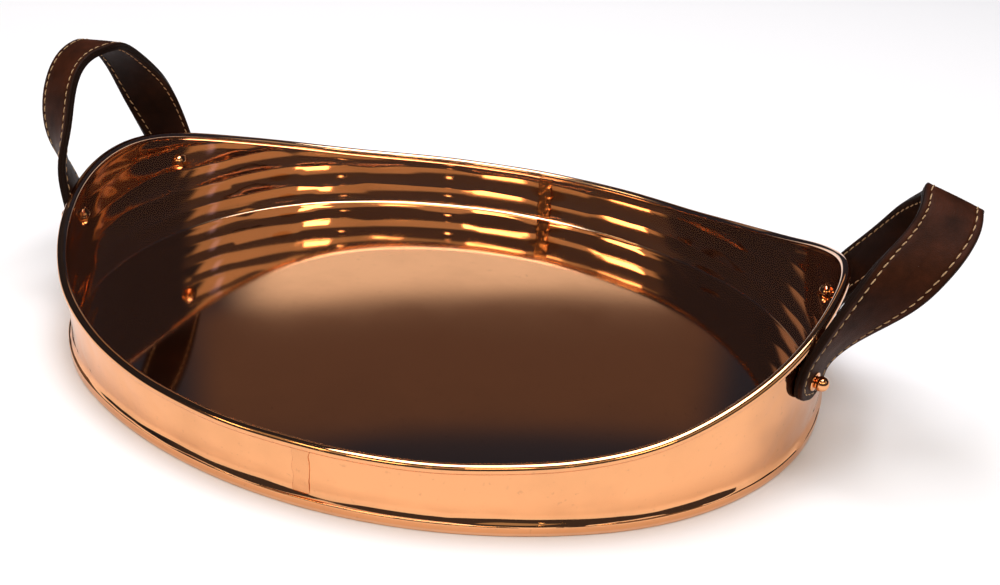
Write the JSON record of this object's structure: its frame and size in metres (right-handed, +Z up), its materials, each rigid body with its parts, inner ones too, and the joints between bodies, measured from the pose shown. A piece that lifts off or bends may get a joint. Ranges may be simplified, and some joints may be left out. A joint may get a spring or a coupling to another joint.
{
  "type": "oval serving tray with strap handles",
  "caption": "Oval hammered copper tray with high ends, a rolled wired rim, a foot band and two stitched leather strap handles on ball studs.",
  "frame": {"origin": "underside of the floor, midway between the two seams and between the two ends", "axes": "+X towards the right handle along the tray, +Y towards the back seam, +Z up"},
  "size_m": [0.5497, 0.3832, 0.1513],
  "materials": {
    "copper_sheet": "polished hammered copper",
    "copper_fittings": "polished copper, turned",
    "solder": "brazed, filed smooth",
    "iron_wire": "drawn wire, hidden in the rim",
    "leather": "dark brown oiled bridle leather",
    "thread": "waxed linen thread"
  },
  "bodies": {
    "tray": {"floor_plate": "copper_sheet", "wall_left_half": "copper_sheet", "wall_right_half": "copper_sheet", "rim_wire": "iron_wire", "front_seam_solder": "solder", "back_seam_solder": "solder", "left_front_stud": "copper_fittings", "left_front_screw": "copper_fittings", "left_front_end_outer_leather": "leather", "left_front_end_lining_leather": "leather", "left_front_end_stitching": "thread", "left_back_stud": "copper_fittings", "left_back_screw": "copper_fittings", "left_back_end_outer_leather": "leather", "left_back_end_lining_leather": "leather", "left_back_end_stitching": "thread", "right_front_stud": "copper_fittings", "right_front_screw": "copper_fittings", "right_front_end_outer_leather": "leather", "right_front_end_lining_leather": "leather", "right_front_end_stitching": "thread", "right_back_stud": "copper_fittings", "right_back_screw": "copper_fittings", "right_back_end_outer_leather": "leather", "right_back_end_lining_leather": "leather", "right_back_end_stitching": "thread"},
    "left_handle": {"left_loop_outer_leather": "leather", "left_loop_lining_leather": "leather", "left_loop_stitching": "thread"},
    "right_handle": {"right_loop_outer_leather": "leather", "right_loop_lining_leather": "leather", "right_loop_stitching": "thread"}
  },
  "joints": [
    {"name": "left_handle_swing", "type": "hinge", "parent": "tray", "child": "left_handle", "pos_m": [-0.2335, 0, 0.0825], "axis": [0, 1, 0], "range_deg": [-70, 40]},
    {"name": "right_handle_swing", "type": "hinge", "parent": "tray", "child": "right_handle", "pos_m": [0.2412, 0, 0.0844], "axis": [0, 1, 0], "range_deg": [-50, 55]}
  ]
}
